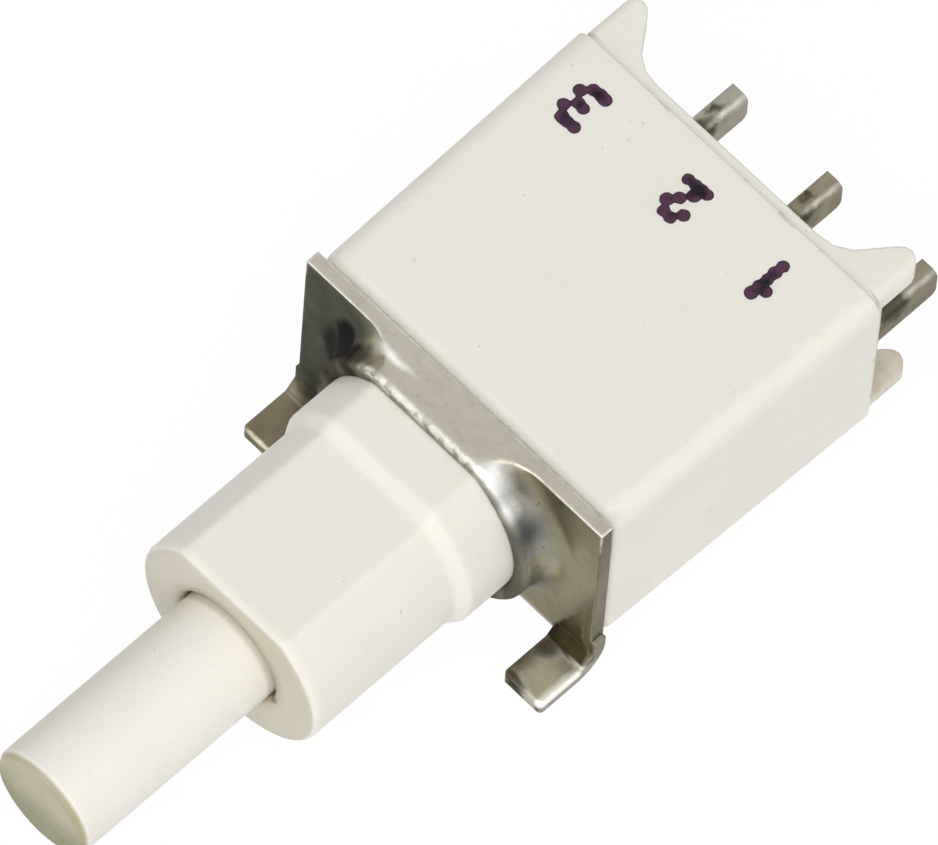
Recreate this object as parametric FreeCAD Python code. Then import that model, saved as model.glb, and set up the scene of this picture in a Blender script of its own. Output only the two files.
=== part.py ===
import FreeCAD, Part
import math
import os

# Subminiature push-button switch lying on a board on its bracket feet
# Units are millimetres. X is across, +Y points from the button to the terminals, Z is up.
# The origin is on the board, below the button's axis, in the front plane of the bracket.

# Fits
SNUG = 0.02
SLIDE_FIT = 0.04
BUTTON_FIT = 0.06
STOP_GAP = 0.02

# Button, stem and stroke
PLUNGER_R = 1.19
PLUNGER_OUT = 4.79
PLUNGER_GUIDE = 2.71
TIP_BEVEL = 0.10
STEM_R = 0.65
STEM_END_R = 0.48
GROOVE_R = 0.34
TRAVEL = 1.20

# Bushing, a round with one flat on top
NOSE_R = 2.30
FLAT_CUT = 0.43
NOSE_FLAT = NOSE_R - FLAT_CUT
NOSE_CORNER = 0.14
NOSE_LEN = 3.61
NOSE_ROUND = 0.16
MOUTH = 0.06
COLLAR_R = NOSE_R + 0.17
COLLAR_FLAT = NOSE_FLAT + 0.21
COLLAR_CORNER = 0.30
COLLAR_OUT = 1.06
COLLAR_RAMP = 0.30

# Bracket, a stamped sheet
SHEET = 0.30
COLLAR_LIFT = 0.21
DRAW = 0.74
FLARE = 0.50
LEG_W = 1.00
LEG_SPLAY = 0.08
LEG_TOP_Z = 1.00
FOOT_REACH = 1.36
BEND_OUT = 0.72
BEND_LEAN = 0.19
BEND_ROOT = 0.05
SHEET_EDGE = 0.05
FOOT_EDGE = 0.10

# Contact rails and terminals
PITCH = 2.54
BLADE_T = 0.42
BLADE_H = 0.78
RAIL_DROP = 0.10
RAIL_STEP = 0.16
BREAK_AT = 0.48
MAKE_AT = 0.76
LEG_GAP = 0.08
FOOT_LEN = 2.82
BLADE_CORNER = 0.28
BLADE_EDGE = 0.18
FOOT_ROUND = 0.16

# Case walls
BLADE_SIDE = 1.34
CASE_HALF_W0 = PITCH + BLADE_SIDE
CASE_HALF_H0 = 2.34
DRAFT_W = 0.14
DRAFT_H = 0.07
CASE_DROP = 0.03
CASE_R = 0.45
CASE_FRONT_R = 0.30
SIDE_WALL = 0.73
TOP_WALL = 0.62
FRONT_WALL = 0.65

# Slider and contacts
SLIDER_PLATE = 1.02
STEM_TAIL = 0.42
CLIP_R = 0.82
CLIP_T = 0.16
RAIL_LEAD = 0.35
BRIDGE_INSET = 1.08
BRIDGE_HALF_Y = 0.40
BRIDGE_SIDE = 0.30
BRIDGE_T = 0.15
BRIDGE_LIFT = 0.20
DIMPLE_R = 0.32
SEAT_R = 1.59
SEAT_T = 0.35
SPRING_WIRE_R = 0.10
PRESS_WIRE_R = 0.06
PRESS_MEAN_R = 0.48
PRESS_LEN = 0.985

# Base with four stand-off ears
FLANGE_T = 0.21
PLUG_T = 0.55
SEAL_T = 0.20
EAR_LEN = 1.05
EAR_W = 1.35
EAR_THICK = 0.52
EAR_TOP_W = 0.52

# Heights that follow
AXIS_Z = COLLAR_LIFT + SHEET + SNUG + COLLAR_R
PLATE_TOP_Z = AXIS_Z + COLLAR_FLAT + SNUG + SHEET
PLATE_LOW_Z = COLLAR_LIFT + 0.05
CASE_Z = AXIS_Z - CASE_DROP
CAVITY_HALF_W = CASE_HALF_W0 - SIDE_WALL
CAVITY_HALF_H = CASE_HALF_H0 - TOP_WALL
RAIL_TOP_Z = AXIS_Z - RAIL_DROP
TONGUE_TOP_Z = RAIL_TOP_Z - SNUG
BRIDGE_Z = RAIL_TOP_Z + BRIDGE_LIFT
ROOF_Z0 = BRIDGE_Z + BRIDGE_T + 0.20
ROOF_Z1 = CASE_Z + CAVITY_HALF_H - SLIDE_FIT

# Widths that follow
PLATE_HALF = CASE_HALF_W0 + 0.04
LEG_OUT = PLATE_HALF + LEG_SPLAY
LEG_IN = LEG_OUT - LEG_W
BORE_R = PLUNGER_R + BUTTON_FIT
SLIDER_HALF_W = CAVITY_HALF_W - SLIDE_FIT
BRIDGE_HALF_W = PITCH + BRIDGE_SIDE
CASE_HALF_W1 = CASE_HALF_W0 + DRAFT_W
CASE_HALF_H1 = CASE_HALF_H0 + DRAFT_H
FLANGE_HALF_W = CASE_HALF_W1 - 0.15
FLANGE_HALF_H = CASE_HALF_H1 - 0.05
POOL_HALF_W = PITCH + 0.46

# Stations along the axis, front to back
RIM_Y = -DRAW
COLLAR_END_Y = RIM_Y - COLLAR_OUT
NOSE_Y = COLLAR_END_Y - COLLAR_RAMP
NOSE_END_Y = NOSE_Y - NOSE_LEN
PLUNGER_TIP_Y = NOSE_END_Y - PLUNGER_OUT
PLUNGER_STEP_Y = NOSE_END_Y + PLUNGER_GUIDE
CASE_Y0 = SHEET
CAVITY_Y0 = CASE_Y0 + FRONT_WALL
SEAT_Y0 = CAVITY_Y0 - SEAT_T
SLIDER_Y0 = CAVITY_Y0 + 0.03
SLIDER_PLATE_Y1 = SLIDER_Y0 + SLIDER_PLATE
STEM_END_Y = SLIDER_PLATE_Y1 + STEM_TAIL
TONGUE_Y0 = STEM_END_Y + TRAVEL + 0.23
RAIL_Y0 = TONGUE_Y0 + 0.10
BRIDGE_Y = RAIL_Y0 + RAIL_LEAD
SLIDER_Y1 = BRIDGE_Y + BRIDGE_INSET
PLUG_Y0 = SLIDER_Y1 + TRAVEL + STOP_GAP
CASE_Y1 = PLUG_Y0 + PLUG_T
FLANGE_Y1 = CASE_Y1 + FLANGE_T
EAR_TIP_Y = FLANGE_Y1 + EAR_LEN
LEG_Y0 = FLANGE_Y1 + LEG_GAP
FOOT_END_Y = LEG_Y0 + FOOT_LEN

os.makedirs("parts", exist_ok=True)


def vec(x, y, z):
    return FreeCAD.Vector(x, y, z)


def arc(a, m, b):
    return Part.Arc(vec(*a), vec(*m), vec(*b)).toShape()


def line(a, b):
    return Part.makeLine(vec(*a), vec(*b))


def box(x0, x1, y0, y1, z0, z1):
    return Part.makeBox(x1 - x0, y1 - y0, z1 - z0, vec(x0, y0, z0))


def rod(radius, y0, y1):
    return Part.makeCylinder(radius, y1 - y0, vec(0, y0, AXIS_Z), vec(0, 1, 0))


def prism(wire, dy):
    return Part.Face(wire).extrude(vec(0, dy, 0))


# Section of the bushing: a circle with one flat on top and rounded corners
def d_wire(y, radius, flat, corner):
    cx = math.sqrt((radius - corner) ** 2 - (flat - corner) ** 2)
    cz = flat - corner
    k = radius / (radius - corner)
    mid = 0.5 * (math.pi / 2 + math.atan2(cz, cx))
    mx = cx + corner * math.cos(mid)
    mz = AXIS_Z + cz + corner * math.sin(mid)
    top = AXIS_Z + flat
    side = AXIS_Z + cz * k
    edges = [
        line((-cx, y, top), (cx, y, top)),
        arc((cx, y, top), (mx, y, mz), (cx * k, y, side)),
        arc((cx * k, y, side), (0, y, AXIS_Z - radius), (-cx * k, y, side)),
        arc((-cx * k, y, side), (-mx, y, mz), (-cx, y, top)),
    ]
    return Part.Wire(edges)


# Rectangle with rounded corners, centred on the case
def round_rect(y, half_w, half_h, r):
    x0, x1 = -half_w, half_w
    z0, z1 = CASE_Z - half_h, CASE_Z + half_h
    q = r * (1 - math.sqrt(0.5))
    edges = [
        line((x0 + r, y, z0), (x1 - r, y, z0)),
        arc((x1 - r, y, z0), (x1 - q, y, z0 + q), (x1, y, z0 + r)),
        line((x1, y, z0 + r), (x1, y, z1 - r)),
        arc((x1, y, z1 - r), (x1 - q, y, z1 - q), (x1 - r, y, z1)),
        line((x1 - r, y, z1), (x0 + r, y, z1)),
        arc((x0 + r, y, z1), (x0 + q, y, z1 - q), (x0, y, z1 - r)),
        line((x0, y, z1 - r), (x0, y, z0 + r)),
        arc((x0, y, z0 + r), (x0 + q, y, z0 + q), (x0 + r, y, z0)),
    ]
    return Part.Wire(edges)


def edges_in_plane_y(shape, y):
    found = []
    for e in shape.Edges:
        b = e.BoundBox
        if abs(b.YMin - y) < 1e-4 and abs(b.YMax - y) < 1e-4:
            found.append(e)
    return found


# Turned piece on the button's axis from a list of (y, radius) points
def turned(points):
    loop = [vec(0, points[0][0], AXIS_Z)]
    for y, r in points:
        loop.append(vec(r, y, AXIS_Z))
    loop.append(vec(0, points[-1][0], AXIS_Z))
    loop.append(loop[0])
    face = Part.Face(Part.makePolygon(loop))
    return face.revolve(vec(0, 0, AXIS_Z), vec(0, 1, 0), 360)


# Housing: one moulding of the case and the bushing
def housing():
    outer = Part.makeLoft(
        [round_rect(CASE_Y0, CASE_HALF_W0, CASE_HALF_H0, CASE_R),
         round_rect(CASE_Y1, CASE_HALF_W1, CASE_HALF_H1, CASE_R)], True, True)
    outer = outer.makeFillet(CASE_FRONT_R, edges_in_plane_y(outer, CASE_Y0))
    root = CASE_Y0 + FRONT_WALL / 2
    collar = prism(d_wire(root, COLLAR_R, COLLAR_FLAT, COLLAR_CORNER), COLLAR_END_Y - root)
    ramp = Part.makeLoft(
        [d_wire(COLLAR_END_Y, COLLAR_R, COLLAR_FLAT, COLLAR_CORNER),
         d_wire(NOSE_Y, NOSE_R, NOSE_FLAT, NOSE_CORNER)], True, True)
    nose = prism(d_wire(NOSE_Y, NOSE_R, NOSE_FLAT, NOSE_CORNER), NOSE_END_Y - NOSE_Y)
    nose = nose.makeFillet(NOSE_ROUND, edges_in_plane_y(nose, NOSE_END_Y))
    body = outer.fuse([collar, ramp, nose])
    cavity = box(-CAVITY_HALF_W, CAVITY_HALF_W, CAVITY_Y0, CASE_Y1 + 1,
                 CASE_Z - CAVITY_HALF_H, CASE_Z + CAVITY_HALF_H)
    bore = rod(BORE_R, NOSE_END_Y - 1, CAVITY_Y0 + 0.1)
    mouth = Part.makeCone(BORE_R + MOUTH, BORE_R - 0.04, 0.20, vec(0, NOSE_END_Y - 0.04, AXIS_Z), vec(0, 1, 0))
    recess = rod(SEAT_R + SNUG / 2, SEAT_Y0, CAVITY_Y0 + 0.1)
    body = body.cut([cavity, bore, mouth, recess])
    return body.removeSplitter()


# Bracket: plate with a drawn collar round the bushing and two feet bent forward
def leg(side):
    s = math.sqrt(0.5)
    x = LEG_IN if side > 0 else -LEG_OUT
    tip_y = -FOOT_REACH
    heel_y = SHEET - BEND_OUT
    knee_z = SHEET + 1.5 * BEND_LEAN
    root_y = -BEND_LEAN
    root_z = SHEET + BEND_ROOT
    pts = [
        line((x, 0, LEG_TOP_Z), (x, 0, knee_z)),
        line((x, 0, knee_z), (x, root_y, root_z)),
        line((x, root_y, root_z), (x, root_y - BEND_ROOT, SHEET)),
        line((x, root_y - BEND_ROOT, SHEET), (x, tip_y, SHEET)),
        line((x, tip_y, SHEET), (x, tip_y, 0)),
        line((x, tip_y, 0), (x, heel_y, 0)),
        arc((x, heel_y, 0), (x, heel_y + BEND_OUT * s, BEND_OUT - BEND_OUT * s), (x, SHEET, BEND_OUT)),
        line((x, SHEET, BEND_OUT), (x, SHEET, LEG_TOP_Z)),
        line((x, SHEET, LEG_TOP_Z), (x, 0, LEG_TOP_Z)),
    ]
    solid = Part.Face(Part.Wire(pts)).extrude(vec(LEG_W, 0, 0))
    tip = [e for e in solid.Edges
           if e.BoundBox.YMax < tip_y + 1e-4 and e.BoundBox.ZLength > SHEET - 1e-3]
    return solid.makeFillet(FOOT_EDGE, tip)


def bracket():
    out_r = COLLAR_R + SNUG + SHEET
    out_flat = COLLAR_FLAT + SNUG + SHEET
    out_corner = COLLAR_CORNER + SNUG + SHEET
    tube = prism(d_wire(SHEET / 2, out_r, out_flat, out_corner), RIM_Y - SHEET / 2)
    tube = tube.makeFillet(SHEET_EDGE, edges_in_plane_y(tube, RIM_Y))
    blank = box(-5 * out_r, 5 * out_r, 0, SHEET, -5 * out_r, 10 * out_r)
    drawn = blank.fuse(tube)
    inner = [e for e in edges_in_plane_y(drawn, 0) if e.BoundBox.DiagonalLength < 4 * out_r]
    drawn = drawn.makeFillet(FLARE, inner)
    limit = box(-PLATE_HALF, PLATE_HALF, RIM_Y - 1, SHEET, PLATE_LOW_Z, PLATE_TOP_Z)
    body = drawn.common(limit)
    past = PLATE_HALF + 1 - LEG_IN
    for x in (LEG_IN, -LEG_IN - past):
        body = body.cut(box(x, x + past, -1, 1, 0, LEG_TOP_Z))
    body = body.fuse([tube, leg(1), leg(-1)])
    hole = prism(d_wire(1, COLLAR_R + SNUG, COLLAR_FLAT + SNUG, COLLAR_CORNER + SNUG), RIM_Y - 2)
    body = body.cut(hole)
    return body.removeSplitter()


# Plunger: button rod, stem for the spring and shoulder for the slider
def plunger():
    t = PLUNGER_TIP_Y
    groove = SLIDER_PLATE_Y1 + SNUG
    return turned([
        (t, PLUNGER_R - TIP_BEVEL), (t + 0.05, PLUNGER_R - 0.6 * TIP_BEVEL), (t + 1.5 * TIP_BEVEL, PLUNGER_R),
        (PLUNGER_STEP_Y - 0.08, PLUNGER_R), (PLUNGER_STEP_Y, PLUNGER_R - 0.08),
        (PLUNGER_STEP_Y, STEM_R), (SLIDER_Y0, STEM_R), (SLIDER_Y0, STEM_END_R),
        (groove, STEM_END_R), (groove, GROOVE_R),
        (groove + CLIP_T + SNUG, GROOVE_R), (groove + CLIP_T + SNUG, STEM_END_R),
        (STEM_END_Y - 0.08, STEM_END_R), (STEM_END_Y, STEM_END_R - 0.08)])


# Coil spring from half turns, each tilted so that it rises; one closed turn at each end
def coil(mean_r, wire_r, length, active):
    closed = 2 * wire_r + 0.01
    free = length - 2 * wire_r - 2 * closed
    heights = [0, closed / 2, closed]
    for i in range(2 * active):
        heights.append(closed + free * (i + 1) / (2 * active))
    heights.append(closed * 1.5 + free)
    heights.append(closed * 2 + free)
    halves = []
    for i in range(len(heights) - 1):
        h0, h1 = heights[i] + wire_r, heights[i + 1] + wire_r
        side = 1 if i % 2 == 0 else -1
        d = (h1 - h0) / 2
        ring = Part.Face(Part.Wire(Part.makeCircle(wire_r, vec(side * mean_r, 0, h0), vec(0, 1, 0))))
        halves.append(ring.revolve(vec(0, 0, (h0 + h1) / 2), vec(side * d, 0, mean_r), 180))
    return halves[0].fuse(halves[1:])


def return_spring():
    mean_r = (STEM_R + PLUNGER_R + SNUG) / 2
    s = coil(mean_r, SPRING_WIRE_R, SEAT_Y0 - PLUNGER_STEP_Y, 5)
    s.rotate(vec(0, 0, 0), vec(1, 0, 0), -90)
    s.translate(vec(0, PLUNGER_STEP_Y, AXIS_Z))
    return s


def spring_seat():
    disc = rod(SEAT_R, SEAT_Y0, CAVITY_Y0)
    return disc.cut(rod(STEM_R + SLIDE_FIT, SEAT_Y0 - 1, CAVITY_Y0 + 1))


# Slider: guided plate on the stem and a roof that carries the bridge contact
def slider():
    low = CASE_Z - CAVITY_HALF_H + SLIDE_FIT
    wide = SLIDER_HALF_W
    reach = BRIDGE_HALF_Y + SLIDE_FIT
    skirt_low = RAIL_TOP_Z + 0.12
    plate = box(-wide, wide, SLIDER_Y0, SLIDER_PLATE_Y1, low, ROOF_Z1)
    roof = box(-wide, wide, SLIDER_Y0, SLIDER_Y1, ROOF_Z0, ROOF_Z1)
    skirt = box(-wide, wide, BRIDGE_Y - reach - 0.31, BRIDGE_Y + reach + 0.31, skirt_low, ROOF_Z0)
    body = plate.fuse([roof, skirt])
    hole = rod(STEM_END_R + SNUG / 2, SLIDER_Y0 - 1, STEM_END_Y)
    relief = rod(CLIP_R + 0.23, SLIDER_PLATE_Y1, STEM_END_Y + CLIP_R / 2)
    half_w = BRIDGE_HALF_W + SLIDE_FIT
    pocket = box(-half_w, half_w, BRIDGE_Y - reach, BRIDGE_Y + reach, skirt_low - 0.1, ROOF_Z0)
    well_top = BRIDGE_Z + BRIDGE_T + PRESS_LEN + SNUG / 2
    well = Part.makeCylinder(PRESS_MEAN_R + PRESS_WIRE_R + 0.12, well_top - skirt_low, vec(0, BRIDGE_Y, skirt_low))
    cuts = [hole, relief, pocket, well]
    core = SLIDER_PLATE_Y1 + 0.45
    for x in (-1.75, 1.75):
        cuts.append(box(x - 0.75, x + 0.75, core, core + 0.70, ROOF_Z0 - 1, ROOF_Z0 + 0.62))
    return body.cut(cuts).removeSplitter()


# Clip: split ring in the groove at the end of the stem
def stem_clip():
    y0 = SLIDER_PLATE_Y1 + SNUG + SNUG / 2
    ring = rod(CLIP_R, y0, y0 + CLIP_T)
    ring = ring.cut(rod(GROOVE_R + SNUG, y0 - 1, y0 + 1))
    slot = GROOVE_R - 0.04
    return ring.cut(box(-slot, slot, y0 - 1, y0 + 1, AXIS_Z - 2 * CLIP_R, AXIS_Z))


# Bridge contact: plate with three feet pressed out of it
def bridge_contact():
    z0 = BRIDGE_Z
    touch = RAIL_TOP_Z + SNUG / 2
    body = box(-BRIDGE_HALF_W, BRIDGE_HALF_W, BRIDGE_Y - BRIDGE_HALF_Y, BRIDGE_Y + BRIDGE_HALF_Y, z0, z0 + BRIDGE_T)
    keep = box(-BRIDGE_HALF_W, BRIDGE_HALF_W, BRIDGE_Y - 1, BRIDGE_Y + 1, touch - 1, z0 + BRIDGE_T / 3)
    for i in (-1, 0, 1):
        centre = vec(i * PITCH, BRIDGE_Y, touch + DIMPLE_R)
        body = body.fuse(Part.makeSphere(DIMPLE_R, centre).common(keep))
        body = body.cut(Part.makeSphere(DIMPLE_R - BRIDGE_T + 0.01, centre))
    return body.removeSplitter()


def contact_spring():
    s = coil(PRESS_MEAN_R, PRESS_WIRE_R, PRESS_LEN, 4)
    s.translate(vec(0, BRIDGE_Y, BRIDGE_Z + BRIDGE_T + SNUG / 4))
    return s


# Terminals: stamped blades with a rail inside and a foot on the board outside
def terminal(number):
    x = (2 - number) * PITCH
    zt = RAIL_TOP_Z
    zb = zt - BLADE_H
    low = zt - RAIL_STEP
    drop = BRIDGE_Y + BREAK_AT
    rise = BRIDGE_Y + MAKE_AT
    back = PLUG_Y0 - 0.18
    if number == 1:
        top = [(RAIL_Y0, zt), (drop, zt), (drop + 0.12, low), (back - 0.12, low), (back, zt)]
    elif number == 3:
        top = [(RAIL_Y0, low), (rise - 0.12, low), (rise, zt), (back, zt)]
    else:
        top = [(RAIL_Y0, zt), (back, zt)]
    leg_back = LEG_Y0 + BLADE_H
    c = BLADE_CORNER
    loop = top + [
        (leg_back - c, zt), (leg_back, zt - c), (leg_back, BLADE_H), (FOOT_END_Y, BLADE_H), (FOOT_END_Y, 0),
        (LEG_Y0 + c, 0), (LEG_Y0, c), (LEG_Y0, zb), (RAIL_Y0, zb)]
    pts = [vec(x - BLADE_T / 2, y, z) for y, z in loop]
    pts.append(pts[0])
    solid = Part.Face(Part.makePolygon(pts)).extrude(vec(BLADE_T, 0, 0))
    rounded = []
    for e in solid.Edges:
        b = e.BoundBox
        if b.XMin > x and b.YMin > leg_back - 1e-3 and b.YLength > 1 and b.ZMin > BLADE_H / 2:
            rounded.append(e)
    solid = solid.makeFillet(BLADE_EDGE, rounded)
    tips = []
    for e in solid.Edges:
        b = e.BoundBox
        if b.YMin > FOOT_END_Y - 1e-3 and b.XLength > BLADE_T / 2 and b.ZMax < BLADE_H / 4:
            tips.append(e)
    return solid.makeFillet(FOOT_ROUND, tips)


# Base: plug, flange with four ears, and the tongue that holds the rails
def ear(sx, sz):
    x_out = FLANGE_HALF_W
    root = x_out - EAR_W
    y0 = FLANGE_Y1 - FLANGE_T / 2
    y1 = EAR_TIP_Y
    r = 0.30
    x_tip = x_out - EAR_TOP_W
    pts = [(root - 0.42, FLANGE_Y1), (root - 0.04, FLANGE_Y1 + 0.05),
           (root + 0.30, FLANGE_Y1 + 0.26), (x_tip - 0.04, y1 - 0.15),
           (x_tip + 0.08, y1 - 0.04), (x_tip + 0.22, y1), (x_out - r, y1),
           (x_out - 0.16, y1 - 0.05), (x_out - 0.05, y1 - 0.16), (x_out, y1 - r),
           (x_out, y0), (root - 0.42, y0)]
    loop = [vec(sx * px, py, CASE_Z + sz * (FLANGE_HALF_H - EAR_THICK)) for px, py in pts]
    loop.append(loop[0])
    solid = Part.Face(Part.makePolygon(loop)).extrude(vec(0, 0, sz * EAR_THICK))
    side = [e for e in solid.Edges
            if e.BoundBox.XLength < 1e-4 and abs(abs(e.BoundBox.XMin) - x_out) < 1e-4
            and e.BoundBox.YLength > r and abs(abs(e.BoundBox.ZMin - CASE_Z) - FLANGE_HALF_H) < 1e-3]
    return solid.makeFillet(0.24, side)


# Recess in the flange for the sealing compound
def pool(depth, over):
    return box(-POOL_HALF_W, POOL_HALF_W, FLANGE_Y1 - SNUG - depth, FLANGE_Y1 - SNUG + over,
               RAIL_TOP_Z - BLADE_H - 0.30, RAIL_TOP_Z + 0.30)


def base(terminals):
    plug = prism(round_rect(PLUG_Y0, CAVITY_HALF_W - SNUG, CAVITY_HALF_H - SNUG, 0.10), CASE_Y1 - PLUG_Y0)
    flange = prism(round_rect(CASE_Y1, FLANGE_HALF_W, FLANGE_HALF_H, 0.40), FLANGE_Y1 - CASE_Y1)
    tongue = box(-CAVITY_HALF_W + SLIDE_FIT, CAVITY_HALF_W - SLIDE_FIT, TONGUE_Y0, PLUG_Y0,
                 CASE_Z - CAVITY_HALF_H + SNUG, TONGUE_TOP_Z)
    parts = [flange, tongue]
    for sx in (-1, 1):
        for sz in (-1, 1):
            parts.append(ear(sx, sz))
    body = plug.fuse(parts)
    body = body.cut(pool(SEAL_T, 1))
    for t in terminals:
        body = body.cut(t)
    return body.removeSplitter()


# Sealing compound poured into the recess round the terminals
def terminal_seal(terminals):
    fill = pool(SEAL_T, 0)
    for t in terminals:
        fill = fill.cut(t)
    return fill


blades = [terminal(1), terminal(2), terminal(3)]
pieces = {
    "housing": housing(),
    "bracket": bracket(),
    "plunger": plunger(),
    "return_spring": return_spring(),
    "spring_seat": spring_seat(),
    "slider": slider(),
    "stem_clip": stem_clip(),
    "bridge_contact": bridge_contact(),
    "contact_spring": contact_spring(),
    "base": base(blades),
    "terminal_1": blades[0],
    "terminal_2": blades[1],
    "terminal_3": blades[2],
    "terminal_seal": terminal_seal(blades),
}
for name, shape in pieces.items():
    b = shape.BoundBox
    print(name, shape.isValid(), len(shape.Solids), round(shape.Volume, 3),
          [round(v, 2) for v in (b.XMin, b.XMax, b.YMin, b.YMax, b.ZMin, b.ZMax)])
    shape.exportStep("parts/" + name + ".step")
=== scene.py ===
import math

import bpy
import numpy as np
from mathutils import Matrix, Vector


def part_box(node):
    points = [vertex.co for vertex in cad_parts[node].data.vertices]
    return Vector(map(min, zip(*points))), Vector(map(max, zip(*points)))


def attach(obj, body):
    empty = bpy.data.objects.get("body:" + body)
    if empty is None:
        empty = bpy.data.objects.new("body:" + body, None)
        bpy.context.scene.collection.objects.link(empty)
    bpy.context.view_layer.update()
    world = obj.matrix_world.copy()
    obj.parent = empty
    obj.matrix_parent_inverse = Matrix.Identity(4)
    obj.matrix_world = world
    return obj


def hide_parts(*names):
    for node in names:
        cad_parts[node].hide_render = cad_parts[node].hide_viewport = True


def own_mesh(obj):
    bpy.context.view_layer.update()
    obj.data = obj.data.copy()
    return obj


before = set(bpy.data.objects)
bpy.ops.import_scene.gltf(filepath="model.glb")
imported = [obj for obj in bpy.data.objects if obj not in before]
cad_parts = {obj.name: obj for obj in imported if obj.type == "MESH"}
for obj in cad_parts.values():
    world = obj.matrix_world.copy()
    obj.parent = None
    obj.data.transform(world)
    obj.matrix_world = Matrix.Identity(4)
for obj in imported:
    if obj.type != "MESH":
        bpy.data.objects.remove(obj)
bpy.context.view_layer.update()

# Housing: the case and the D-shaped bushing, one warm white moulding of glass-filled nylon.
# Its skin is satin, faintly mottled, with specks in the resin, and compound has smeared here and there along the
# rear edge. The end of the bushing is painted darker tan as shade, more on its right, and the mouth of the bore is
# painted brown as shade, with a spot of painted shade in the gap at its lower right.

BUTTON_AXIS_MM = 3.0
NOSE_END_MM = -5.71
REAR_EDGE_MM = 7.15


def add(tree, kind, inputs, **settings):
    """Put one shader node in the tree. An input given as a socket is linked, any other value is set on it."""
    node = tree.nodes.new(kind)
    for name, value in settings.items():
        setattr(node, name, value)
    for key, value in inputs.items():
        socket = node.inputs[key]
        if isinstance(value, bpy.types.NodeSocket):
            tree.links.new(value, socket)
        else:
            socket.default_value = value
    return node


def calc(tree, operation, a, b=0.0, c=0.0):
    """One Math node on up to three values."""
    return add(tree, "ShaderNodeMath", {0: a, 1: b, 2: c}, operation=operation).outputs[0]


def times(tree, product, *others):
    """Several values multiplied together."""
    for other in others:
        product = calc(tree, "MULTIPLY", product, other)
    return product


def ramp(tree, value, low, high, start=0.0, end=1.0):
    """Smooth step of a value: start below low, end above high."""
    return add(tree, "ShaderNodeMapRange", {0: value, 1: low, 2: high, 3: start, 4: end},
               interpolation_type="SMOOTHSTEP").outputs[0]


def tint(tree, amount, a, b, mode="MIX"):
    """Colour a turned into colour b by an amount from 0 to 1."""
    return add(tree, "ShaderNodeMix", {0: amount, 6: a, 7: b}, data_type="RGBA", blend_type=mode).outputs[2]


def place_mm(tree):
    """Place on the piece in millimetres, from Object coordinates."""
    where = add(tree, "ShaderNodeTexCoord", {}).outputs["Object"]
    return add(tree, "ShaderNodeVectorMath", {0: where, 3: 1000.0}, operation="SCALE").outputs[0]


def split(tree, place):
    """The three components of a place."""
    return add(tree, "ShaderNodeSeparateXYZ", {0: place}).outputs


def cloud(tree, place, scale, detail=3.0, rough=0.55, warp=0.0):
    """Noise with its grain per millimetre, centred on one half."""
    return add(tree, "ShaderNodeTexNoise", {"Vector": place, "Scale": scale, "Detail": detail,
                                            "Roughness": rough, "Distortion": warp}).outputs["Fac"]


def ragged(tree, place, scale, amount):
    """Place pushed about by noise, by up to half the amount in millimetres, which tears the edge of what lies on it."""
    push = add(tree, "ShaderNodeTexNoise", {"Vector": place, "Scale": scale, "Detail": 3.0}).outputs["Color"]
    push = add(tree, "ShaderNodeVectorMath", {0: push, 1: (0.5, 0.5, 0.5)}, operation="SUBTRACT").outputs[0]
    push = add(tree, "ShaderNodeVectorMath", {0: push, 3: amount}, operation="SCALE").outputs[0]
    return add(tree, "ShaderNodeVectorMath", {0: place, 1: push}, operation="ADD").outputs[0]


def stain(tree, place, centre, reach, soft=0.5):
    """Oval stain: 1 in the middle, 0 beyond its reach in millimetres along each axis, and soft between."""
    away = add(tree, "ShaderNodeVectorMath", {0: place, 1: centre}, operation="SUBTRACT").outputs[0]
    away = add(tree, "ShaderNodeVectorMath", {0: away, 1: reach}, operation="DIVIDE").outputs[0]
    far = add(tree, "ShaderNodeVectorMath", {0: away}, operation="LENGTH").outputs["Value"]
    return ramp(tree, far, 1.0 - soft, 1.0, 1.0, 0.0)


def off_axis(tree, axes):
    """Distance from the button's axis in millimetres."""
    up = calc(tree, "SUBTRACT", axes[2], BUTTON_AXIS_MM)
    return calc(tree, "SQRT", calc(tree, "ADD", times(tree, axes[0], axes[0]), times(tree, up, up)))


def new_group(name, takes, gives):
    """Empty shader node group. takes maps each input's name to (socket kind, value), gives each output's to a kind."""
    tree = bpy.data.node_groups.new(name, "ShaderNodeTree")
    for label, (kind, value) in takes.items():
        tree.interface.new_socket(label, in_out="INPUT", socket_type=kind).default_value = value
    for label, kind in gives.items():
        tree.interface.new_socket(label, in_out="OUTPUT", socket_type=kind)
    return tree, tree.nodes.new("NodeGroupInput").outputs, tree.nodes.new("NodeGroupOutput")


def link(tree, node, sockets):
    """Link sockets to a node's inputs by name."""
    for label, socket in sockets.items():
        tree.links.new(socket, node.inputs[label])


FLOAT, COLOUR, VECTOR = "NodeSocketFloat", "NodeSocketColor", "NodeSocketVector"


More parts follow.
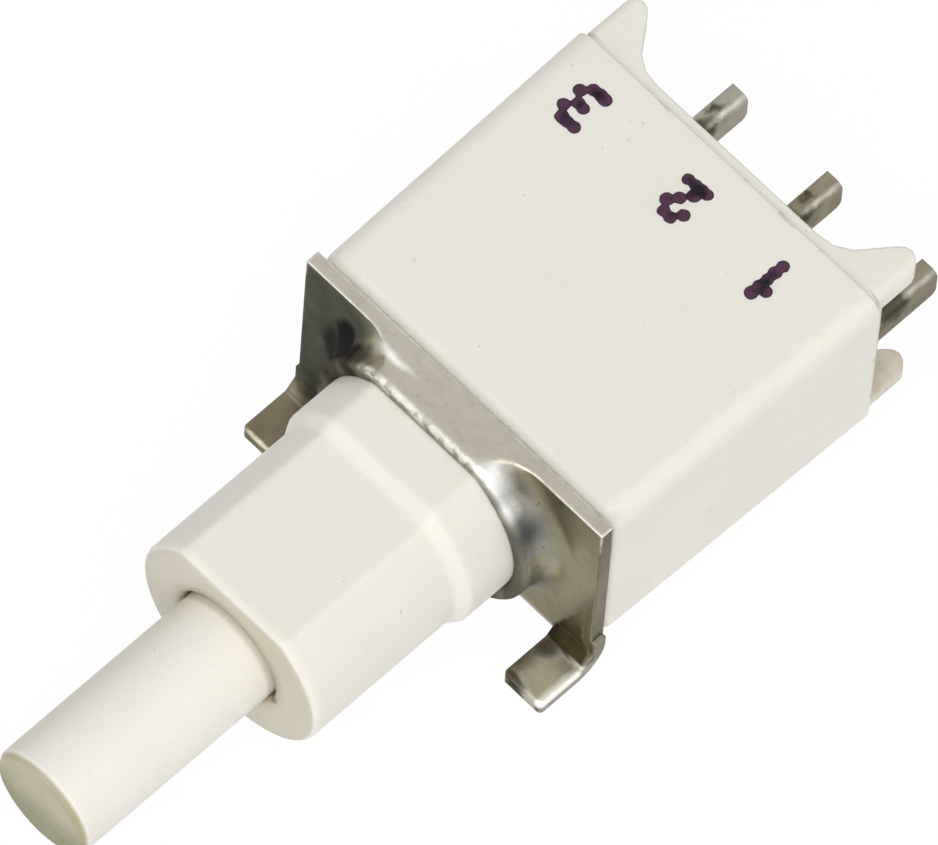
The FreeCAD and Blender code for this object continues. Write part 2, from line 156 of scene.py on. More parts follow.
def moulded_skin():
    """Satin moulded plastic: slow mottling between two tones, rare specks, and a fine pebbled grain in relief."""
    tree, takes, gives = new_group(
        "moulded_skin",
        {"Tone": (COLOUR, (0.8, 0.8, 0.8, 1)), "Deep tone": (COLOUR, (0.7, 0.7, 0.65, 1)),
         "Mottle": (FLOAT, 0.5), "Specks": (FLOAT, 0.5), "Gloss": (FLOAT, 0.42)},
        {"Colour": COLOUR, "Roughness": FLOAT, "Relief": FLOAT})
    place = place_mm(tree)
    slow = ramp(tree, cloud(tree, place, 0.55, 4.0), 0.32, 0.72)
    colour = tint(tree, times(tree, slow, takes["Mottle"]), takes["Tone"], takes["Deep tone"])
    fleck = times(tree, ramp(tree, cloud(tree, place, 7.5, 2.0, 0.4), 0.735, 0.80), takes["Specks"])
    colour = tint(tree, fleck, colour, (0.36, 0.29, 0.20, 1))
    grain = cloud(tree, place, 26.0, 3.0, 0.6)
    broad = cloud(tree, place, 3.2, 2.0)
    rough = calc(tree, "ADD", takes["Gloss"], calc(tree, "MULTIPLY_ADD", grain, 0.12, -0.06))
    relief = calc(tree, "MULTIPLY_ADD", broad, 1.6, times(tree, grain, 0.35))
    link(tree, gives, {"Colour": colour, "Roughness": rough, "Relief": relief})
    return tree


def new_finish(name):
    """A material with its Principled shader, ready for sockets."""
    material = bpy.data.materials.new(name)
    material.use_nodes = True
    return material, material.node_tree, material.node_tree.nodes["Principled BSDF"]


def use(tree, group, **values):
    """Place a shared effect in a material with its own values, given by input name with _ for a space."""
    node = tree.nodes.new("ShaderNodeGroup")
    node.node_tree = group
    for key, value in values.items():
        node.inputs[key.replace("_", " ")].default_value = value
    return node.outputs


def relieve(tree, shader, height, depth, edge=0.0):
    """Relief of a given depth in metres on the shader's normal, over edges rounded by a radius in metres."""
    inputs = {"Height": height, "Distance": depth, "Strength": 1.0}
    if edge:
        inputs["Normal"] = add(tree, "ShaderNodeBevel", {"Radius": edge}, samples=6).outputs[0]
    tree.links.new(add(tree, "ShaderNodeBump", inputs).outputs[0], shader.inputs["Normal"])


def translucent(shader, spread=(1.0, 0.72, 0.45)):
    """Let light spread about a third of a millimetre into the plastic, red the farthest."""
    shader.inputs["Subsurface Weight"].default_value = 0.25
    shader.inputs["Subsurface Radius"].default_value = spread
    shader.inputs["Subsurface Scale"].default_value = 0.00035


def dress(material, *names):
    """Give CAD nodes their finish."""
    for name in names:
        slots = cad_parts[name].data.materials
        slots.clear()
        slots.append(material)


SKIN = moulded_skin()


def case_finish():
    material, tree, shader = new_finish("warm_white_nylon")
    skin = use(tree, SKIN, Tone=(0.845, 0.812, 0.742, 1), Deep_tone=(0.812, 0.774, 0.698, 1), Mottle=0.55,
               Specks=0.40, Gloss=0.40)
    place = place_mm(tree)
    axes = split(tree, place)
    radius = off_axis(tree, split(tree, ragged(tree, place, 3.0, 0.06)))
    end = ramp(tree, axes[1], NOSE_END_MM + 0.06, NOSE_END_MM + 0.01)
    # The end face of the bushing is painted darker tan as shade, more on its right.
    end_shade = times(tree, end, ramp(tree, axes[0], -0.8, 1.2, 0.80, 1.0))
    colour = tint(tree, end_shade, skin["Colour"], (0.58, 0.54, 0.43, 1))
    front = ramp(tree, axes[1], NOSE_END_MM + 1.5, NOSE_END_MM + 0.3)
    # The mouth of the bore and the bore wall are painted brown as shade.
    halo = times(tree, ramp(tree, radius, 1.28, 1.60, 0.38, 0.0), front)
    colour = tint(tree, halo, colour, (0.44, 0.36, 0.21, 1))
    mouth = times(tree, ramp(tree, radius, 1.27, 1.34, 0.60, 0.0), front)
    colour = tint(tree, mouth, colour, (0.48, 0.40, 0.26, 1))
    # A spot of painted shade in the gap at the lower right of the bore.
    gap_shade = times(tree, stain(tree, place, (1.22, NOSE_END_MM, 2.62), (0.16, 0.5, 0.24), 0.7), 0.9)
    colour = tint(tree, gap_shade, colour, (0.16, 0.10, 0.035, 1))
    smear = ramp(tree, cloud(tree, place, 1.7, 3.0), 0.58, 0.66)
    near = ramp(tree, axes[1], REAR_EDGE_MM - 0.10, REAR_EDGE_MM - 0.02)
    smear = times(tree, smear, near, 0.5)
    colour = tint(tree, smear, colour, (0.42, 0.33, 0.20, 1))
    link(tree, shader, {"Base Color": colour, "Roughness": skin["Roughness"]})
    translucent(shader)
    edge = calc(tree, "ADD", ramp(tree, axes[1], REAR_EDGE_MM - 0.45, REAR_EDGE_MM - 0.15, 0.00018, 0.00003),
                ramp(tree, axes[1], NOSE_END_MM + 0.5, NOSE_END_MM + 0.2, 0.0, 0.00012))
    relieve(tree, shader, skin["Relief"], 0.000006, edge)
    return material


dress(case_finish(), "housing")

# Spring seat: a washer turned from brass rod and pressed into the front wall,
# where it closes the bore and backs the return spring.


def rubbed_metal():
    """Metal with streaks along one axis, dull blotches, rare pits in relief and scuffed roughness."""
    tree, takes, gives = new_group(
        "rubbed_metal",
        {"Bright": (COLOUR, (0.6, 0.6, 0.6, 1)), "Dull": (COLOUR, (0.3, 0.3, 0.3, 1)), "Blotches": (FLOAT, 0.5),
         "Blotch size": (FLOAT, 1.0), "Streaks": (VECTOR, (0.5, 6.0, 6.0)), "Pits": (FLOAT, 0.5),
         "Gloss": (FLOAT, 0.25)},
        {"Colour": COLOUR, "Roughness": FLOAT, "Relief": FLOAT})
    place = place_mm(tree)
    scaled = add(tree, "ShaderNodeVectorMath", {0: place, 3: takes["Blotch size"]}, operation="SCALE").outputs[0]
    blotch = ramp(tree, cloud(tree, scaled, 1.0, 5.0, 0.6, 0.4), 0.38, 0.70)
    lines = add(tree, "ShaderNodeVectorMath", {0: place, 1: takes["Streaks"]}, operation="MULTIPLY").outputs[0]
    streak = cloud(tree, lines, 1.0, 3.0, 0.6)
    colour = tint(tree, times(tree, blotch, takes["Blotches"]), takes["Bright"], takes["Dull"])
    colour = tint(tree, ramp(tree, streak, 0.3, 0.8, 0.0, 0.22), colour, takes["Dull"])
    cells = add(tree, "ShaderNodeTexVoronoi", {"Vector": place, "Scale": 2.6, "Randomness": 1.0}).outputs
    pit = ramp(tree, cells["Distance"], 0.05, 0.13, 1.0, 0.0)
    chosen = ramp(tree, split(tree, cells["Color"])[0], 0.62, 0.66)
    pit = times(tree, pit, chosen, takes["Pits"])
    colour = tint(tree, times(tree, pit, 0.8), colour, (0.05, 0.045, 0.035, 1))
    fine = cloud(tree, place, 34.0, 2.0)
    rough = calc(tree, "ADD", takes["Gloss"], calc(tree, "MULTIPLY_ADD", blotch, 0.16, -0.05))
    rough = calc(tree, "ADD", rough, calc(tree, "MULTIPLY_ADD", fine, 0.16, -0.08))
    relief = calc(tree, "SUBTRACT", calc(tree, "MULTIPLY_ADD", streak, 0.5, times(tree, fine, 0.3)),
                  times(tree, pit, 2.0))
    link(tree, gives, {"Colour": colour, "Roughness": rough, "Relief": relief})
    return tree


RUBBED = rubbed_metal()


def metal_finish(name, **values):
    """A bare or plated metal: the shared rubbed effect straight on the shader."""
    material, tree, shader = new_finish(name)
    skin = use(tree, RUBBED, **values)
    link(tree, shader, {"Base Color": skin["Colour"], "Roughness": skin["Roughness"]})
    shader.inputs["Metallic"].default_value = 1.0
    relieve(tree, shader, skin["Relief"], 0.000003)
    return material


dress(metal_finish("turned_brass", Bright=(0.72, 0.56, 0.28, 1), Dull=(0.42, 0.31, 0.14, 1), Blotches=0.4,
                   Streaks=(3.0, 14.0, 3.0), Pits=0.0, Gloss=0.28), "spring_seat")

# Springs: the return spring round the stem and the small one that presses the bridge,
# both wound from bright drawn steel wire with closed ends.

WIRE_MM = 0.098
COIL_MM = 0.93
OPEN_TURNS = 5
CLOSED_PITCH_MM = 0.21
TURN_STEPS = 48
WIRE_SIDES = 12


def new_piece(name, points, faces, material):
    """A mesh object of its own at the origin, in one material."""
    mesh = bpy.data.meshes.new(name)
    mesh.from_pydata(points, [], faces)
    mesh.materials.append(material)
    piece = bpy.data.objects.new(name, mesh)
    bpy.context.scene.collection.objects.link(piece)
    return piece


def wound_spring(front, back):
    """Round wire wound in a helix round the button's axis, from front to back along it in millimetres.

    The centreline keeps one distance from the axis while its angle grows evenly. Its way along the axis grows by the
    closed pitch over the first turn and over the last, and evenly between. At each station a circle of the wire's
    radius stands square to the centreline, on the direction away from the axis and the one square to both. A flat
    disc closes each end.
    """
    turns = np.linspace(0.0, OPEN_TURNS + 2.0, TURN_STEPS * (OPEN_TURNS + 2) + 1)
    along = np.interp(turns, [0.0, 1.0, OPEN_TURNS + 1.0, OPEN_TURNS + 2.0],
                      [front + WIRE_MM, front + WIRE_MM + CLOSED_PITCH_MM, back - WIRE_MM - CLOSED_PITCH_MM,
                       back - WIRE_MM])
    angle = 2.0 * math.pi * turns
    away = np.stack([np.cos(angle), np.zeros_like(angle), np.sin(angle)], 1)
    centre = away * COIL_MM + np.stack([np.zeros_like(along), along, np.full_like(along, BUTTON_AXIS_MM)], 1)
    forward = np.gradient(centre, axis=0)
    forward /= np.linalg.norm(forward, axis=1, keepdims=True)
    beside = np.cross(forward, away)
    around = np.linspace(0.0, 2.0 * math.pi, WIRE_SIDES, endpoint=False)[None, :, None]
    points = centre[:, None] + WIRE_MM * (np.cos(around) * away[:, None] + np.sin(around) * beside[:, None])
    number = np.arange(points.shape[0] * WIRE_SIDES).reshape(-1, WIRE_SIDES)
    after = np.roll(number, -1, axis=1)
    sides = np.stack([number[:-1], after[:-1], after[1:], number[1:]], -1).reshape(-1, 4)
    return points.reshape(-1, 3) / 1000, sides.tolist() + [number[0, ::-1].tolist(), number[-1].tolist()]


WIRE = metal_finish("drawn_wire", Bright=(0.62, 0.61, 0.59, 1), Dull=(0.34, 0.33, 0.31, 1), Blotches=0.35,
                    Streaks=(6.0, 2.0, 6.0), Pits=0.1, Gloss=0.24)
dress(WIRE, "contact_spring")
spring_front, spring_back = (corner.y * 1000 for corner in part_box("return_spring"))
points, faces = wound_spring(spring_front, spring_back)
spring = new_piece("return_spring_wire", points.tolist(), faces, WIRE)
spring.data.shade_smooth()
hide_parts("return_spring")
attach(spring, "switch_body")
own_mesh(spring)

# Plunger: the button, turned from white acetal rod with a small bevel round its end.
# It was sawn off and faced, so its end is tan and ringed. A ring of painted shade darkens it where it enters the bore,
# and its left side is painted darker olive as shade.

BUTTON_TIP_MM = -10.5


def button_finish():
    material, tree, shader = new_finish("white_acetal")
    skin = use(tree, SKIN, Tone=(0.855, 0.825, 0.755, 1), Deep_tone=(0.825, 0.79, 0.71, 1), Mottle=0.5,
               Specks=0.25, Gloss=0.44)
    place = place_mm(tree)
    axes = split(tree, place)
    radius = off_axis(tree, axes)
    end = ramp(tree, axes[1], BUTTON_TIP_MM + 0.15, BUTTON_TIP_MM + 0.05)
    rings = times(tree, calc(tree, "SINE", times(tree, radius, 62.0)), end)
    uneven = calc(tree, "MULTIPLY_ADD", cloud(tree, place, 1.6, 4.0), 1.0, -0.5)
    low = calc(tree, "ADD", ramp(tree, axes[2], 3.6, 2.3), uneven)
    sawn = tint(tree, low, (0.465, 0.43, 0.295, 1), (0.245, 0.232, 0.128, 1))
    rim = stain(tree, ragged(tree, place, 2.5, 0.14), (0.55, BUTTON_TIP_MM + 0.04, 3.35), (0.80, 0.12, 0.95), 0.5)
    rim = times(tree, rim, ramp(tree, radius, 0.90, 1.02))
    sawn = tint(tree, times(tree, rim, 0.55), sawn, (0.34, 0.29, 0.15, 1))
    # The left side is painted darker olive as shade.
    left_shade = times(tree, ramp(tree, axes[0], -0.45, -1.15), ramp(tree, axes[1], -6.2, -7.4, 0.75, 0.40))
    colour = tint(tree, left_shade, skin["Colour"], (0.70, 0.655, 0.51, 1))
    colour = tint(tree, end, colour, sawn)
    # A ring of painted shade where the plunger enters the bore.
    bore_ring_shade = stain(tree, ragged(tree, place, 2.0, 0.10), (0.0, NOSE_END_MM - 0.03, BUTTON_AXIS_MM), (3.0, 0.14, 3.0), 0.9)
    colour = tint(tree, times(tree, bore_ring_shade, 0.5), colour, (0.40, 0.32, 0.18, 1))
    link(tree, shader, {"Base Color": colour, "Roughness": skin["Roughness"]})
    translucent(shader, (1.0, 0.75, 0.5))
    relieve(tree, shader, calc(tree, "MULTIPLY_ADD", rings, 0.25, skin["Relief"]), 0.000005, 0.00003)
    return material


dress(button_finish(), "plunger")

# Slider: the slide on the stem, moulded in black nylon, with the bridge contact under its roof.
# The clip that holds it is a split ring pressed from spring steel.


def plastic_finish(name, depth, edge, **values):
    """A plain plastic: the shared satin skin straight on the shader, with its relief and edge radius in metres."""
    material, tree, shader = new_finish(name)
    skin = use(tree, SKIN, **values)
    link(tree, shader, {"Base Color": skin["Colour"], "Roughness": skin["Roughness"]})
    relieve(tree, shader, skin["Relief"], depth, edge)
    return material


dress(plastic_finish("black_nylon", 0.000006, 0.00004, Tone=(0.030, 0.030, 0.032, 1),
                     Deep_tone=(0.018, 0.018, 0.020, 1), Mottle=0.7, Specks=0.1, Gloss=0.46), "slider")
dress(metal_finish("pressed_spring_steel", Bright=(0.50, 0.50, 0.51, 1), Dull=(0.26, 0.26, 0.27, 1), Blotches=0.5,
                   Streaks=(2.0, 8.0, 2.0), Pits=0.2, Gloss=0.30), "stem_clip")

# Bridge contact: stamped from copper alloy strip and silver plated, with three domed feet
# that run on the rails of the terminals.

dress(metal_finish("silver_plate", Bright=(0.82, 0.80, 0.76, 1), Dull=(0.52, 0.47, 0.38, 1), Blotches=0.45,
                   Streaks=(0.6, 5.0, 5.0), Pits=0.1, Gloss=0.20), "bridge_contact")

# Base: the plug, rear flange and four stand-off ears, one moulding in the case's material.
# At the back, the lower part of the base with its lower ears is painted browner in patches as shade.


def base_finish():
    material, tree, shader = new_finish("warm_white_nylon_base")
    skin = use(tree, SKIN, Tone=(0.835, 0.805, 0.735, 1), Deep_tone=(0.79, 0.75, 0.665, 1), Mottle=0.6,
               Specks=0.45, Gloss=0.42)
    place = place_mm(tree)
    axes = split(tree, place)
    # The lower back of the base is painted browner as shade.
    lower_shade = times(tree, ramp(tree, axes[2], 1.9, 1.1),
                    ramp(tree, axes[1], REAR_EDGE_MM + 0.15, REAR_EDGE_MM + 0.27),
                    ramp(tree, cloud(tree, place, 1.3, 4.0), 0.30, 0.62, 0.10, 0.60))
    colour = tint(tree, lower_shade, skin["Colour"], (0.56, 0.46, 0.29, 1))
    smear = ramp(tree, cloud(tree, place, 2.1, 3.0), 0.56, 0.64)
    near = ramp(tree, axes[1], REAR_EDGE_MM + 0.09, REAR_EDGE_MM + 0.01)
    smear = times(tree, smear, near, 0.5)
    colour = tint(tree, smear, colour, (0.45, 0.36, 0.22, 1))
    link(tree, shader, {"Base Color": colour, "Roughness": skin["Roughness"]})
    translucent(shader)
    relieve(tree, shader, skin["Relief"], 0.000006, 0.00006)
    return material


dress(base_finish(), "base")

# Terminals: blades stamped from brass strip and silver plated, with their upper edge rolled over.
# The plating has greyed. Each blade has a painted highlight on its rolled edge, terminal 3 is painted lighter and
# terminal 1 darker as light and the ear's shadow fall, and the blades are painted near black about their roots.

PITCH_MM = 2.54


def terminal_finish():
    material, tree, shader = new_finish("greyed_silver_plate")
    skin = use(tree, RUBBED, Bright=(0.30, 0.27, 0.195, 1), Dull=(0.145, 0.13, 0.085, 1), Blotches=0.75,
               Blotch_size=1.5, Streaks=(7.0, 0.9, 7.0), Pits=0.6, Gloss=0.36)
    place = place_mm(tree)
    axes = split(tree, place)
    colour = skin["Colour"]
    # Terminal 3 is painted lighter as light, and terminal 1 darker as the ear's shadow.
    third = ramp(tree, axes[0], -1.4, -1.2, 1.0, 0.0)
    colour = tint(tree, times(tree, third, 0.42), colour, (0.50, 0.485, 0.435, 1))
    first = ramp(tree, axes[0], 1.2, 1.4)
    colour = tint(tree, times(tree, first, 0.6), colour, (0.26, 0.238, 0.178, 1))
    from_edge = calc(tree, "FLOORED_MODULO", calc(tree, "ADD", axes[0], 0.5 * PITCH_MM), PITCH_MM)
    from_mid = calc(tree, "SUBTRACT", from_edge, 0.5 * PITCH_MM)
    section = add(tree, "ShaderNodeCombineXYZ", {0: from_mid, 1: axes[1], 2: axes[2]}).outputs[0]
    # A painted highlight along the rolled upper edge of each blade.
    rolled = stain(tree, ragged(tree, section, 4.0, 0.10), (0.115, 9.70, 0.715), (0.095, 1.4, 0.11), 1.0)
    rolled = times(tree, rolled, ramp(tree, axes[0], -1.0, 1.4, 0.64, 0.45))
    colour = tint(tree, rolled, colour, (0.86, 0.84, 0.78, 1))
    push = add(tree, "ShaderNodeVectorMath", {0: ragged(tree, place, 2.6, 0.50), 1: place}, operation="SUBTRACT")
    torn = add(tree, "ShaderNodeVectorMath", {0: section, 1: push.outputs[0]}, operation="ADD").outputs[0]
    # The blades are painted near black about their roots.
    near_black = calc(tree, "MAXIMUM", stain(tree, torn, (0.10, 9.15, 0.60), (0.34, 0.48, 0.46), 0.5),
                stain(tree, torn, (-0.08, 9.62, 0.78), (0.13, 0.26, 0.22), 0.8))
    colour = tint(tree, times(tree, near_black, 0.88), colour, (0.050, 0.044, 0.020, 1))
    link(tree, shader, {"Base Color": colour, "Roughness": skin["Roughness"]})
    shader.inputs["Metallic"].default_value = 1.0
    shader.inputs["Specular Tint"].default_value = (0.65, 0.64, 0.60, 1)
    relieve(tree, shader, skin["Relief"], 0.000005, 0.00005)
    return material


dress(terminal_finish(), "terminal_1", "terminal_2", "terminal_3")

# Terminal seal: brown epoxy poured round the blades into the recess of the rear flange.
# It set glossy, mottled, and with a slightly wavy skin.

dress(plastic_finish("brown_epoxy", 0.000015, 0.0, Tone=(0.46, 0.36, 0.20, 1), Deep_tone=(0.34, 0.25, 0.12, 1),
                     Mottle=0.9, Specks=0.5, Gloss=0.20), "terminal_seal")

# Terminal numbers: 3, 2 and 1, read from the back, printed on the case top beside the terminals.
# An ink jet laid each as a few dots of violet-black ink, which ran together where they met,
# dried darkest along their rims and stayed thin where a dot lies alone.

DOT_MM = 0.134
DOT_COLUMN_MM = 0.160
DOT_ROW_MM = 0.205
INK_MM = 0.006
GRID_MM = 0.010
MARGIN_MM = 0.2
JITTER_MM = 0.010
SOFTNESS = 0.30
WAVES = 10
WAVES_PER_MM = 26.0
WAVE_HEIGHT = 0.018
SEED = 40
CASE_FRONT_MM = 0.30
TOP_FRONT_MM, TOP_RISE_MM = 5.31, 0.07
NUMBER_PLACES = {"3": (-2.79, 6.00), "2": (-0.08, 6.00), "1": (2.25, 6.00)}
NUMBER_DOTS = {
    "3": ["###.", "...#", ".##.", "...#", "###."],
    "2": [".##.", "#..#", "..#.", ".#..", "####"],
    "1": ["..#.", ".##.", "..#.", "..#.", "..#."],
}


def case_top_mm(y):
    """Height of the case top, which rises by its draft from the front edge to the rear edge."""
    return TOP_FRONT_MM + TOP_RISE_MM * (y - CASE_FRONT_MM) / (REAR_EDGE_MM - CASE_FRONT_MM)


def ink_film(name, centre, rows):
    """Ink of one number on a fine grid over the case top.

    Each dot is a dome: one at its middle, nought at its rim, falling with the square of the distance. The domes are
    joined by a soft maximum, which is the logarithm of the sum of their exponentials, so that a lone dot stays round
    and near dots join by a neck. Waves of noise fray the rim. The film rises from below the plastic at the rim to its
    full height inside; faces under the plastic are left out. The dome is kept as the depth at each point, and a sum
    of wide bells round the dots as the load of ink thereabouts.
    """
    marks = np.array([(c, r) for r, row in enumerate(rows) for c, sign in enumerate(row) if sign == "#"], float)
    chance = np.random.default_rng(SEED + ord(name))
    dots = np.stack([centre[0] - (marks[:, 0] - 1.5) * DOT_COLUMN_MM,
                     centre[1] + (marks[:, 1] - 2.0) * DOT_ROW_MM], 1)
    dots += chance.normal(0.0, JITTER_MM, dots.shape)
    reach = DOT_MM * chance.uniform(0.90, 1.08, len(dots))
    x, y = (np.arange(low - MARGIN_MM, high + MARGIN_MM, GRID_MM) for low, high in zip(dots.min(0), dots.max(0)))
    gx, gy = np.meshgrid(x, y)
    square = (gx[..., None] - dots[:, 0]) ** 2 + (gy[..., None] - dots[:, 1]) ** 2
    dome = 1.0 + SOFTNESS * np.log(np.exp(-square / (SOFTNESS * reach ** 2)).sum(-1) + 1e-12)
    load = np.exp(-square / (2 * DOT_MM ** 2)).sum(-1)
    across, along = chance.normal(0.0, WAVES_PER_MM, (2, WAVES))
    turn = chance.uniform(0.0, 2.0 * math.pi, WAVES)
    dome += WAVE_HEIGHT * np.sin(across * gx[..., None] + along * gy[..., None] + turn).sum(-1)
    height = INK_MM * np.tanh(3.0 * dome)
    points = np.stack([gx, gy, case_top_mm(gy) + height], -1).reshape(-1, 3) / 1000
    number = np.arange(gx.size).reshape(gx.shape)
    quads = np.stack([number[:-1, :-1], number[:-1, 1:], number[1:, 1:], number[1:, :-1]], -1).reshape(-1, 4)
    quads = quads[(dome.reshape(-1)[quads] > 0).any(1)]
    used, quads = np.unique(quads, return_inverse=True)
    return points[used], quads.reshape(-1, 4), dome.reshape(-1)[used], load.reshape(-1)[used]


def ink_finish():
    material, tree, shader = new_finish("violet_black_ink")
    place = place_mm(tree)
    depth = add(tree, "ShaderNodeAttribute", {}, attribute_name="ink_depth").outputs["Fac"]
    load = add(tree, "ShaderNodeAttribute", {}, attribute_name="ink_load").outputs["Fac"]
    uneven = calc(tree, "MULTIPLY_ADD", cloud(tree, place, 5.0, 3.0), 2.2, -1.1)
    thick = ramp(tree, calc(tree, "ADD", load, uneven), 1.25, 2.35)
    colour = tint(tree, thick, (0.078, 0.030, 0.060, 1), (0.004, 0.001, 0.005, 1))
    colour = tint(tree, ramp(tree, depth, 0.10, 0.38, 0.85, 0.0), colour, (0.012, 0.004, 0.014, 1))
    blue = ramp(tree, cloud(tree, place, 2.6, 2.0), 0.56, 0.66, 0.0, 0.35)
    colour = tint(tree, blue, colour, (0.018, 0.007, 0.046, 1))
    link(tree, shader, {"Base Color": colour, "Roughness": calc(tree, "MULTIPLY_ADD", thick, -0.12, 0.52)})
    shader.inputs["Specular IOR Level"].default_value = 0.20
    relieve(tree, shader, cloud(tree, place, 20.0, 3.0), 0.000003)
    return material


INK = ink_finish()
for name, rows in NUMBER_DOTS.items():
    points, quads, depth, load = ink_film(name, NUMBER_PLACES[name], rows)
    number = new_piece("printed_number_" + name, points.tolist(), quads.tolist(), INK)
    number.data.attributes.new("ink_depth", "FLOAT", "POINT").data.foreach_set("value", depth)
    number.data.attributes.new("ink_load", "FLOAT", "POINT").data.foreach_set("value", load)
    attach(number, "switch_body")

# Bracket: cold-rolled steel strip, blanked, drawn up round the bushing and bent at the feet,
# then tin plated. The plate has greyed unevenly, most in the draw, and is bright along its edges, partly from wear
# and partly as a painted highlight. Painted highlights, shade and reflections lie on the draw, the plate's front and
# feet.

PLATE_TOP_MM = 5.40
PLATE_SIDE_MM = 3.92
SHEET_MM = 0.30
RIM_MM = -0.74
WIDE_STAIN_MM = 0.6

# Marks on the metal as centre, reach, softness, strength and tone: two painted highlights on the shoulder at the left
# of the draw, a painted highlight on the shoulder at its right with a painted dark reflection beside it, painted blue
# and yellow reflections and the highlight's tail below, the greyed top of the right foot, and a painted highlight on
# the end of the left one.
HIGHLIGHTS_AND_MARKS = [
    ((-1.80, -0.20, 5.30), (0.40, 0.22, 0.30), 1.0, 0.50, (0.62, 0.61, 0.57)),
    ((-1.36, -0.20, 5.38), (0.66, 0.15, 0.20), 1.0, 1.00, (0.92, 0.91, 0.86)),
    ((1.66, -0.58, 5.20), (0.72, 0.34, 0.56), 1.0, 0.95, (0.78, 0.78, 0.77)),
    ((1.95, -0.18, 5.05), (0.75, 0.16, 0.55), 0.9, 0.80, (0.10, 0.088, 0.060)),
    ((2.55, -0.48, 4.20), (0.70, 0.60, 0.62), 1.0, 0.92, (0.075, 0.088, 0.088)),
    ((2.80, -0.44, 3.20), (0.36, 0.40, 0.55), 0.9, 0.75, (0.38, 0.345, 0.21)),
    ((2.12, -0.60, 4.72), (0.36, 0.30, 0.52), 1.0, 0.90, (0.88, 0.88, 0.87)),
    ((3.10, -0.85, 0.30), (0.22, 0.80, 0.30), 0.8, 0.70, (0.14, 0.125, 0.060)),
    ((-3.50, -1.36, 0.29), (0.62, 0.09, 0.10), 0.8, 0.90, (0.80, 0.76, 0.56)),
]

# Painted shade and reflection that leave the metal dark and matt, in the same order: the left of the plate's front, the
# black pool in the left of the draw, its tail down the plate, its upper end and the brown above that, the draw's left
# side, its left rim, its right side and its lower right, the fold, the root, the inner edge, the tip and the end of the
# right foot, and the root of the left leg.
PAINTED_SHADE = [
    ((-3.30, 0.00, 3.10), (2.10, 0.30, 3.40), 0.35, 0.86, (0.040, 0.047, 0.038)),
    ((-2.62, -0.34, 4.08), (0.60, 0.84, 0.78), 0.35, 1.00, (0.003, 0.002, 0.001)),
    ((-3.05, -0.05, 3.15), (0.40, 0.34, 1.00), 0.55, 0.94, (0.005, 0.004, 0.002)),
    ((-2.08, -0.52, 4.70), (0.60, 0.48, 0.50), 0.5, 0.98, (0.006, 0.005, 0.003)),
    ((-1.95, -0.50, 5.00), (0.42, 0.45, 0.36), 0.8, 0.90, (0.060, 0.055, 0.036)),
    ((-2.85, -0.50, 3.20), (0.50, 0.50, 1.10), 0.6, 0.92, (0.010, 0.008, 0.005)),
    ((-2.30, -0.68, 3.90), (0.90, 0.20, 1.25), 0.6, 0.75, (0.085, 0.072, 0.048)),
    ((2.45, -0.70, 2.60), (0.55, 0.22, 2.10), 0.6, 0.78, (0.075, 0.066, 0.036)),
    ((1.90, -0.60, 1.10), (0.90, 0.45, 0.70), 0.7, 0.80, (0.060, 0.052, 0.030)),
    ((3.30, -0.22, 0.32), (0.60, 0.11, 0.12), 0.6, 0.92, (0.018, 0.013, 0.003)),
    ((3.15, -0.40, 0.30), (0.46, 0.34, 0.14), 0.7, 0.90, (0.030, 0.022, 0.006)),
    ((2.96, -0.80, 0.28), (0.10, 0.80, 0.20), 0.7, 0.94, (0.012, 0.009, 0.002)),
    ((3.20, -1.34, 0.28), (0.56, 0.22, 0.16), 0.6, 0.90, (0.045, 0.038, 0.010)),
    ((3.50, -1.39, 0.10), (0.75, 0.09, 0.24), 0.5, 0.92, (0.014, 0.010, 0.003)),
    ((-3.45, -0.05, 0.50), (0.55, 0.40, 0.50), 0.8, 0.70, (0.035, 0.028, 0.012)),
]


